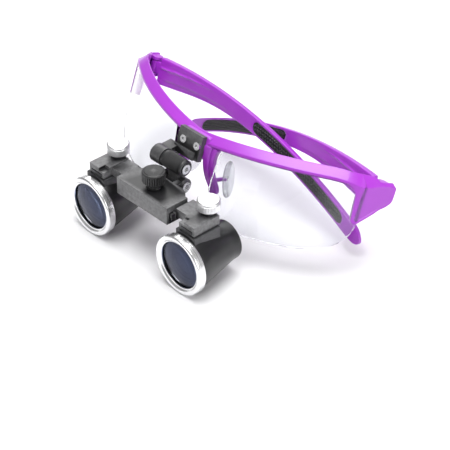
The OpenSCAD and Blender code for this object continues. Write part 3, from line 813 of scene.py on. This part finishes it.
# %% Grip surface
def grip_strip():
    """A closed strip over the grip's outline. Across it the height is the rounded border of
    the strip plus studs at the crossings of two waves, slanted against the strip."""
    PITCH, STUD = 1.5, 0.4
    s = np.linspace(GRIP_START + 0.02, GRIP_END - 0.02, 420)[:, None]
    across = np.linspace(-1, 1, 49)[None, :]
    centre, tall, ends = grip_outline(s)
    tall = tall * np.sqrt(np.maximum(1 - ends**2, 0.0005))
    z = centre + across * tall
    edge = np.minimum((1 - np.abs(across)) * tall, np.minimum(s - GRIP_START, GRIP_END - s))
    border = np.sqrt(np.clip(edge / 0.5, 0, 1) * (2 - np.clip(edge / 0.5, 0, 1)))
    turns = 2 * math.pi / PITCH
    wave = np.cos(turns * (s + 0.35 * z)) + np.cos(turns * (z - 0.1 * s))
    studs = np.clip(1.3 * wave - 0.2, 0, 1) * np.clip((edge - 0.6) / 0.3, 0, 1)
    outer = temple_thick(s) / 2 - 0.35 + 0.35 * border + STUD * studs
    inner = np.broadcast_to(temple_thick(s) / 2 - 1.0, z.shape)
    y = np.concatenate([outer, inner[:, ::-1]], 1)
    z = temple_mid(s) + np.concatenate([z, z[:, ::-1]], 1)
    return skin(np.stack([np.broadcast_to(s, y.shape), y, z], -1))


grip_rubber = new_finish(
    "grip_rubber", ((0.008, 0.008, 0.009), (0.014, 0.014, 0.015)), (0.34, 0.46), grain=5000.0
)
for side, sign in SIDES.items():
    lean = LEAN[side]
    along = sign * -math.cos(lean) * X_AXIS + math.sin(lean) * BACK
    inner_way = sign * -math.sin(lean) * X_AXIS - math.cos(lean) * BACK
    pin = bridge + MM * (sign * HINGE[0] * X_AXIS + HINGE[1] * BACK)
    place = Place(pin, along, inner_way, UP)
    shells = [place.shell(shell) for shell in [temple_body(), *temple_eye()]]
    shell_piece("temple_arm_" + side, shells, purple, "temple_" + side)
    shells = [place.shell(grip_strip())]
    grip = shell_piece("grip_strip_" + side, shells, grip_rubber, "grip_" + side, 35)
    print(side, "temple:", len(grip.data.polygons), "faces in its grip")

# %% [markdown]
# ## Lenses and nose pads
# The lenses are clear polycarbonate, 2 mm thick, cut to a skewed squared oval below the brow
# bar. The sheet is one curved grid, and Solidify gives it its thickness. A small bevel
# rounds the cut edge, which then shines as a bright line.

# %% Clear plastics
clear = new_finish(
    "clear_polycarbonate", ((0.86, 0.88, 0.90), (0.90, 0.92, 0.93)), (0.0, 0.04),
    grain=60.0, bump=0.0, Transmission_Weight=1.0, IOR=1.585,
)
silicone = new_finish(
    "pad_silicone", ((0.9, 0.91, 0.93), (0.82, 0.83, 0.86)), (0.12, 0.25),
    grain=900.0, bump=0.05, Transmission_Weight=0.85, IOR=1.41,
)


# %% Lens sheet
def lens_sheet():
    """u runs across and v up. The lower edge is a squared oval of power 3 with a skew, the
    upper edge runs inside the brow bar's groove, and the depth is the wrap arc."""
    CENTRE_X, CENTRE_Z, HALF_W, HALF_H, SKEW = 41.0, -8.0, 29.0, 20.5, 0.15
    u = np.sin(np.linspace(-math.pi / 2, math.pi / 2, 73))[:, None]
    v = np.linspace(0, 1, 33)[None, :]
    x = CENTRE_X + HALF_W * np.sign(u) * (1 - (1 - np.abs(u)) ** 1.5) + 0 * v
    across = np.abs(x - CENTRE_X) / HALF_W
    low = CENTRE_Z - HALF_H * np.cbrt(np.maximum(0, 1 - across**3)) + SKEW * (x - 36)
    high = brow_top(np.minimum(x, 67)) - 4.0 - 14.0 * np.maximum(0, (14.4 - x) / 2.4) ** 2
    z = low + (high - low) * v
    return np.stack([x, wrap_depth(x, BAR_FRONT + 1.8), z], -1)


def open_sheet(name, points):
    """A mesh from an open grid of points in metres."""
    rows, columns = points.shape[:2]
    i = (np.arange(rows - 1)[:, None] * columns + np.arange(columns - 1)[None, :]).ravel()
    quads = np.stack([i, i + columns, i + columns + 1, i + 1], -1)
    mesh = bpy.data.meshes.new(name)
    mesh.from_pydata(points.reshape(-1, 3).tolist(), [], quads.tolist())
    mesh.update()
    mesh.shade_smooth()
    return mesh


for side, place in SPECTACLE_SIDE.items():
    mesh = open_sheet("clear_lens_" + side, place.at(lens_sheet()))
    lens = add_piece("clear_lens_" + side, mesh, clear, "lens_" + side)
    wall = lens.modifiers.new("thickness", "SOLIDIFY")
    wall.thickness = 2 * MM
    wall.offset = 0
    rim = lens.modifiers.new("rim", "BEVEL")
    rim.width = 0.45 * MM
    rim.segments = 3
    rim.limit_method = "ANGLE"
    rim.angle_limit = math.radians(50)


# %% [markdown]
# A nose pad is a soft oval button. A squared ellipsoid gives its flat faces and round rim.


# %% Nose pads
def nose_pad():
    """A squared ellipsoid: the cosines and sines of two angles, raised to a power below 1."""
    up = np.linspace(-math.pi / 2, math.pi / 2, 33)[:, None]
    round_ = np.linspace(0, 2 * math.pi, 56, endpoint=False)[None, :]

    def squared(value, power):
        return np.sign(value) * np.abs(value) ** power

    ring = squared(np.cos(up), 0.55)
    x = 1.4 * squared(np.sin(up), 0.9) + 0 * round_
    y = 5.0 * ring * squared(np.sin(round_), 0.9)
    z = 7.9 * ring * squared(np.cos(round_), 0.9)
    return skin(np.stack([x, y + 0.04 * z, z], -1)[1:-1])


PAD_CENTRE, PAD_TURN, PAD_TIP = (11.6, 16.4, -13), math.radians(22), math.radians(12)
for side, place in SPECTACLE_SIDE.items():
    points, faces = nose_pad()
    c, s = math.cos(PAD_TIP), math.sin(PAD_TIP)
    points = points @ np.array([[c, 0, s], [0, 1, 0], [-s, 0, c]])
    c, s = math.cos(PAD_TURN), math.sin(PAD_TURN)
    points = points @ np.array([[c, s, 0], [-s, c, 0], [0, 0, 1]]) + PAD_CENTRE
    shells = [place.shell((points, faces))]
    shell_piece("silicone_pad_" + side, shells, silicone, "nose_pad_" + side)

# %% [markdown]
# ## Black metal parts
# The plate, beam and arms are milled from aluminium and anodised black. Their shapes are
# already exact in the imported model, so each is copied, its loose triangles are merged, and a
# small bevel breaks the edges. A real milled edge is never sharp: it shows as a thin pale line.

# %% Metal finishes
# Each black finish below has a paler edge colour: a painted highlight along its edges.
black_alloy = new_finish(
    "black_anodised", ((0.007, 0.007, 0.008), (0.010, 0.010, 0.011)), (0.3, 0.38),
    grain=5000.0, bump=0.04, edge_highlight_colour=(0.16, 0.16, 0.165), Specular_IOR_Level=0.75,
)
black_satin = new_finish(
    "barrel_black", ((0.006, 0.006, 0.007), (0.009, 0.009, 0.010)), (0.26, 0.33),
    grain=5000.0, bump=0.03, edge_highlight_colour=(0.04, 0.04, 0.045), Specular_IOR_Level=0.6,
)
matt_black = new_finish(
    "matt_black", ((0.004, 0.004, 0.004), (0.007, 0.007, 0.007)), (0.7, 0.85), bump=0.1
)
knob_black = new_finish(
    "knob_black", ((0.014, 0.014, 0.015), (0.02, 0.02, 0.021)), (0.36, 0.44),
    bump=0.06, edge_highlight_colour=(0.09, 0.09, 0.09),
)
bright_steel = new_finish(
    "bright_steel", ((0.62, 0.62, 0.63), (0.72, 0.72, 0.73)), (0.18, 0.3),
    grain=1500.0, bump=0.04, Metallic=1.0,
)
brass = new_finish(
    "brass", ((0.62, 0.40, 0.14), (0.72, 0.48, 0.18)), (0.25, 0.4),
    grain=1500.0, bump=0.05, Metallic=1.0,
)


# %% Copying a CAD node and breaking its edges
def softened(name, node, material, width=0.28):
    """A copy of a CAD node with its doubles merged and its flat faces dissolved, whose
    edges above 30 degrees get a small bevel. Large faces then set the shading, so that
    they stay flat."""
    mesh = frame["nodes"][node].data.copy()
    piece = add_piece(name, mesh, material, node)
    edit = bmesh.new()
    edit.from_mesh(mesh)
    bmesh.ops.remove_doubles(edit, verts=edit.verts, dist=1e-6)
    bmesh.ops.dissolve_limit(
        edit, angle_limit=math.radians(1), verts=edit.verts, edges=edit.edges
    )
    edit.to_mesh(mesh)
    edit.free()
    mesh.shade_smooth()
    bevel = piece.modifiers.new("broken_edge", "BEVEL")
    bevel.width = width * MM
    bevel.segments = 2
    bevel.limit_method = "ANGLE"
    bevel.angle_limit = math.radians(30)
    flatten = piece.modifiers.new("flat_faces", "WEIGHTED_NORMAL")
    flatten.weight = 100


softened("bridge_plate_body", "bridge_plate", black_alloy)
softened("beam_body", "beam_channel", black_alloy)
for side in SIDES:
    softened("arm_head_" + side, "arm_" + side, black_alloy)
softened("beam_bottom_cover", "beam_cover", black_satin, 0.15)

# %% [markdown]
# ## Turned parts
# Knobs, screws, rings and barrels come off a lathe, so each is a profile turned about its
# axis. Knurling is a ripple added to the radius between two heights.


# %% Knurled knobs
def knurl(count, depth, low, high):
    """Ripples round a knob: a rounded saw wave of the angle, only between two heights."""

    def change(angle, along):
        wave = np.abs(np.sin(count * angle / 2)) ** 0.7 - 1
        inside = np.clip((along - low) / 0.15, 0, 1) * np.clip((high - along) / 0.15, 0, 1)
        return depth * wave * inside

    return change


def upright(x, y):
    """The row frame's own directions from a point on its floor."""
    return Place((x, y, 0), X_AXIS, (0, 1, 0), (0, 0, 1))


def standing(node):
    """Upright axes at the middle of a node's box."""
    return upright(*middle(node)[:2])


def thumbscrew():
    """Knurled skirt, groove and plain domed top above the stem."""
    corners = [
        (29.0, 1.5), (33.98, 1.5), (33.98, 4.6), (34.3, 4.95), (37.15, 4.95), (37.3, 4.55),
        (37.6, 4.55), (37.75, 4.9), (38.1, 4.85), (38.45, 4.4), (38.5, 2.5), (38.5, 0.3),
    ]
    profile = rounded(corners, 0.14, 3, closed=False)
    return turned(profile, 288, radius_change=knurl(48, 0.28, 34.2, 37.1))


def adjusting_knob():
    """The beam's knob: a collar, a deeply ribbed skirt and a slightly domed cap."""
    corners = [
        (34.0, 2.0), (34.0, 3.6), (35.4, 3.6), (35.4, 4.6), (35.7, 5.0), (39.8, 5.0),
        (40.2, 4.85), (40.35, 4.5), (40.2, 4.2), (40.45, 3.9), (40.6, 2.0), (40.6, 0.3),
    ]
    profile = rounded(corners, 0.18, 3, closed=False)
    return turned(profile, 240, radius_change=knurl(30, 0.55, 35.6, 39.7))


def chrome(name, node, axis, roughness, bump):
    """Bright chrome with its turning marks centred on one node."""
    tones = ((0.83, 0.83, 0.84), (0.9, 0.9, 0.91))
    return new_finish(name, tones, roughness, bump=bump, lathe=(middle(node), axis), Metallic=1.0)


shells = [standing("pd_knob").shell(adjusting_knob())]
shell_piece("pd_knob_cap", shells, knob_black, "pd_knob", 50)
for side in SIDES:
    node = "thumbscrew_" + side
    finish = chrome("screw_chrome_" + side, node, (0, 0, 1), (0.24, 0.38), 0.12)
    shells = [standing(node).shell(thumbscrew())]
    shell_piece("thumbscrew_head_" + side, shells, finish, node, 50)

# %% [markdown]
# The barrels lie along the row frame's y axis. Each front ring is polished, with a narrow
# inner step; each housing tapers and ends in a rounded shoulder.

# %% Barrel axes and profiles
BARREL_LEN, RING_LEN = 28.2, 4.0
RING_R, HOUSING_R, GLASS_R, REAR_R = 13.5, 12.4, 10.6, 9.0
RING_FRONT_Y = -45.0


def in_barrel(side):
    """Barrel axes: z runs back along the barrel from its front face."""
    low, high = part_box("front_ring_" + side)
    centre = (low + high) / 2
    return Place((centre.x, low.y, centre.z), (1, 0, 0), (0, 0, -1), (0, 1, 0))


def front_ring():
    """A closed profile: polished outside, rounded face, bevelled inner step."""
    corners = [
        (1.7, GLASS_R), (0.95, GLASS_R), (0.85, GLASS_R + 0.45), (0.25, GLASS_R + 1.0),
        (0.1, GLASS_R + 1.35), (0.0, GLASS_R + 1.6), (0.0, RING_R - 0.6), (0.5, RING_R),
        (RING_LEN - 0.3, RING_R), (RING_LEN, RING_R - 0.3), (RING_LEN, HOUSING_R - 0.42),
        (1.7, HOUSING_R - 0.42),
    ]
    radii = [0.1, 0.15, 0.1, 0.2, 0.1, 0.2, 0.5, 0.5, 0.2, 0.2, 0.1, 0.1]
    return turned(rounded(corners, radii), 144, closed=True)


def housing_tube():
    """A closed profile: straight behind the ring, tapered, and rounded at the eyepiece."""
    corners = [
        (1.9, HOUSING_R - 0.45), (RING_LEN, HOUSING_R - 0.45), (RING_LEN + 0.1, HOUSING_R),
        (7, HOUSING_R), (24.8, REAR_R), (27.9, REAR_R - 0.15), (BARREL_LEN, 8.6),
        (BARREL_LEN, 8.2), (26.3, 8.2), (26.3, 7.6), (23.4, 7.6), (23.4, 6.7), (22.1, 6.7),
        (22.1, 8.6), (9, 8.6), (9, 11.2), (1.9, 11.2),
    ]
    radii = [0.1] * 3 + [3.0, 1.4, 0.8, 0.3] + [0.1] * 10
    return turned(rounded(corners, radii, 5), 128, closed=True)


def housing_foot():
    """The foot on top of the tube and its dovetail rail, in the row frame's x, y, z. They
    are drawn for a ring whose front face stands at RING_FRONT_Y."""
    foot = prism(box_outline(-5.7, 5.7, -40.4, -26, 0.5), 19.5, 27.5, 0.3)
    rail = prism(box_outline(-2.5, 2.5, -39.8, -26.6, 0.3), 27, 28.1, 0.1)
    head = prism(box_outline(-3.4, 3.4, -39.8, -26.6, 0.3), 28, 29.5, 0.2)
    return [foot, rail, head]


for side in SIDES:
    place = in_barrel(side)
    node = "front_ring_" + side
    polished = chrome("ring_chrome_" + side, node, (0, 1, 0), (0.2, 0.32), 0.04)
    shell_piece("ring_" + side, [place.shell(front_ring())], polished, node, 50)
    foot_place = upright(place.origin[0], place.origin[1] - RING_FRONT_Y * MM)
    shells = [place.shell(housing_tube())] + [foot_place.shell(s) for s in housing_foot()]
    shell_piece("barrel_body_" + side, shells, black_satin, "housing_" + side, 35)

# %% [markdown]
# ## Coated glass and what lies behind it
# The front lens carries an anti-reflection coating, which throws back a little blue and
# violet. Behind it the tube is ribbed and matt black, so that stray light dies in it. Both
# are modelled, because the dark ribs are what one sees through the glass.

# %% Glass finish
# The dark blue tone dims all light that passes through the glass: painted shade, on top of the dark tube modelled
# behind it. The blue tint of the reflection comes from the coating.
coated_glass = new_finish(
    "coated_glass", ((0.10, 0.13, 0.22), (0.14, 0.17, 0.27)), (0.0, 0.02),
    grain=60.0, bump=0.0, Transmission_Weight=1.0, IOR=1.52,
    Specular_IOR_Level=0.2, Specular_Tint=(0.42, 0.5, 1.0, 1.0),
)


# %% Objective, baffle and eyepiece
def objective():
    """A biconvex front lens: a spherical cap in front, a cylinder edge, a weaker cap behind."""
    FRONT_CURVE, REAR_CURVE = 45.4, 60.0
    r = np.linspace(0.25, GLASS_R - 0.06, 24)
    front = np.stack([0.8 + FRONT_CURVE - np.sqrt(FRONT_CURVE**2 - r**2), r], -1)
    rear = np.stack([6.6 - (REAR_CURVE - np.sqrt(REAR_CURVE**2 - r[::-1] ** 2)), r[::-1]], -1)
    return turned(np.concatenate([front, rear]))


def baffle():
    """The spacer tube: its inner wall is a row of rounded ribs that narrow to the rear."""
    START, END, RIB_PITCH = 8.05, 21.4, 1.3
    z = np.linspace(START, END, 180)
    ribs = 0.35 * np.abs(np.sin(math.pi * (z - 8) / RIB_PITCH))
    inner = np.stack([z, 7.9 - 1.1 * (z - 8) / 13.4 + ribs], -1)
    outer = np.array([(END, 8.5), (START, 8.5)])
    return turned(np.concatenate([inner, outer]), closed=True)


def retainer():
    """The ring that holds the front lens, drawn without its slots."""
    corners = [(6.05, 11.0), (6.05, 9.6), (6.6, 9.0), (7.95, 8.3), (7.95, 11.0)]
    return turned(rounded(corners, 0.15, 3), closed=True)


def eyepiece():
    """A plano-concave rear lens."""
    CURVE = 18
    r = np.linspace(0.25, 7.5, 20)
    front = np.stack([23.5 + 1.62 - (CURVE - np.sqrt(CURVE**2 - r**2)), r], -1)
    rear = np.stack([np.full(20, 26.25), r[::-1]], -1)
    return turned(np.concatenate([front, rear]), 80)


def eyepiece_ring():
    """The screwed ring at the rear, with a turned-down lip."""
    corners = [(26.35, 6.2), (26.35, 8.1), (28.1, 8.1), (28.2, 7.9), (28.2, 7.1), (27.5, 6.2)]
    return turned(rounded(corners, 0.15, 3), closed=True)


INNER_PARTS = {
    "objective_glass": (objective, coated_glass, "objective"),
    "baffle_tube": (baffle, matt_black, "spacer_tube"),
    "retaining_ring": (retainer, matt_black, "objective_retainer"),
    "eyepiece_glass": (eyepiece, coated_glass, "eyepiece"),
    "eyepiece_bezel": (eyepiece_ring, black_satin, "eyepiece_ring"),
}
for side in SIDES:
    place = in_barrel(side)
    for name, (shape, material, node) in INNER_PARTS.items():
        shell_piece(name + "_" + side, [place.shell(shape())], material, node + "_" + side)

# %% [markdown]
# ## The flip-up hinge
# The link swings on the bridge plate and carries the beam. Its barrel is finely ribbed so
# that a finger can turn it, and the ribs are part of its turned surface.

# %% Hinge link
PIVOT_Y = joints["flip_up"]["pos_m"][1]
UPPER_Z, LOWER_Z = joints["flip_up"]["pos_m"][2], joints["view_angle"]["pos_m"][2]


def ribbed_barrel():
    """The upper barrel along x: 44 fine ribs between two plain rims, and a recess at its
    outer end for the screw head."""
    BARREL_R, STEPS = 3.7, 3
    corners = [
        (-5.7, 1.4), (-5.7, 3.5), (-5.5, BARREL_R), (5.9, BARREL_R), (6.4, 3.3), (6.4, 2.45),
        (5.3, 2.45), (5.3, 1.4),
    ]
    profile = rounded(corners, 0.12, STEPS)
    fine = np.stack([np.linspace(-5.2, 5.4, 18), np.full(18, BARREL_R)], -1)
    after_third = 3 * (STEPS + 1)
    profile = np.insert(profile, after_third, fine, 0)
    return turned(profile, 264, closed=True, radius_change=knurl(44, 0.22, -4.6, 5.1))


def along_x(z):
    """Axes for a turned part that lies along x at one of the hinge's pivots."""
    return Place((0, PIVOT_Y, z), (0, 1, 0), (0, 0, 1), (1, 0, 0))


upper, lower = along_x(UPPER_Z), along_x(LOWER_Z)
lower_profile = rounded([(-2.7, 1.4), (-2.7, 3.0), (2.7, 3.0), (2.7, 1.4)], 0.2, 3)
lower_barrel = turned(lower_profile, 72, closed=True)
web = prism(box_outline(-2.7, 2.7, -2, 2, 0.4), LOWER_Z / MM + 1.6, UPPER_Z / MM - 1.6, 0.1)
shells = [
    upper.shell(ribbed_barrel()), lower.shell(lower_barrel), upright(0, PIVOT_Y).shell(web)
]
shell_piece("link_body", shells, black_alloy, "hinge_link")

# %% [markdown]
# ## Small hardware
# Screws, nuts, pins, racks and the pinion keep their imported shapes, which are already exact.
# They only take a proper metal finish.

# %% Materials on the nodes that stay
KEPT = {
    bright_steel: [
        "bridge_screws", "temple_pins", "friction_washers", "upper_pivot_screw",
        "lower_pivot_screw", "pinion", "rack_left", "rack_right",
    ],
    black_satin: ["upper_pivot_nut", "lower_pivot_nut", "clamp_collar_left", "clamp_collar_right"],
    brass: ["bridge_inserts"],
}
for material, nodes in KEPT.items():
    for node in nodes:
        node_mesh = frame["nodes"][node].data
        node_mesh.materials.clear()
        node_mesh.materials.append(material)
